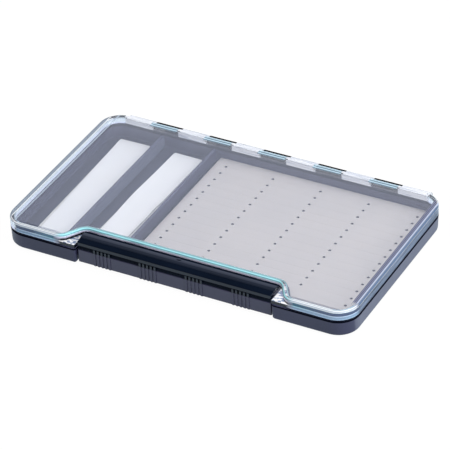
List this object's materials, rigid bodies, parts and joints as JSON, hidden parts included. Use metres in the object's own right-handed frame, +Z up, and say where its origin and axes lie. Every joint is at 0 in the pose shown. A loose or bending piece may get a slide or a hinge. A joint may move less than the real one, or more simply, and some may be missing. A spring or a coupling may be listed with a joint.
{
  "type": "fly box",
  "caption": "Slim waterproof fly box: dark tray with two open bays and a slit silicone pad, clear hinged lid on a rim seal, and a full-width front latch bar.",
  "frame": {"origin": "middle of the length and depth of the box, hinge included, on the surface that it rests on", "axes": "+X along the length of the box, +Y from the latch towards the hinge, +Z up"},
  "size_m": [0.1882, 0.1136, 0.0145],
  "materials": {
    "tray_plastic": "dark slate blue ABS, fine moulded texture",
    "latch_plastic": "dark slate blue ABS, satin",
    "clear_plastic": "clear polycarbonate with a faint blue tint, polished",
    "seal_rubber": "black silicone rubber, smooth",
    "pad_silicone": "pale grey silicone, matt, slit in rows",
    "strip_white": "white flexible strip, satin",
    "adhesive_film": "thin double-sided adhesive film",
    "pin_steel": "stainless steel wire, drawn"
  },
  "bodies": {
    "tray": {"base_tray": "tray_plastic", "rim_seal": "seal_rubber", "hinge_pin": "pin_steel", "silicone_pad": "pad_silicone", "pad_adhesive": "adhesive_film", "left_strip": "strip_white", "left_strip_adhesive": "adhesive_film", "right_strip": "strip_white", "right_strip_adhesive": "adhesive_film"},
    "lid": {"lid": "clear_plastic"},
    "latch": {"latch_bar": "latch_plastic"}
  },
  "joints": [
    {"name": "lid_hinge", "type": "hinge", "parent": "tray", "child": "lid", "pos_m": [0, 0.0543, 0.0095], "axis": [-1, 0, 0], "range_deg": [0, 180]},
    {"name": "latch_pivot", "type": "hinge", "parent": "tray", "child": "latch", "pos_m": [0, -0.0529, 0.0043], "axis": [1, 0, 0], "range_deg": [0, 75]}
  ]
}
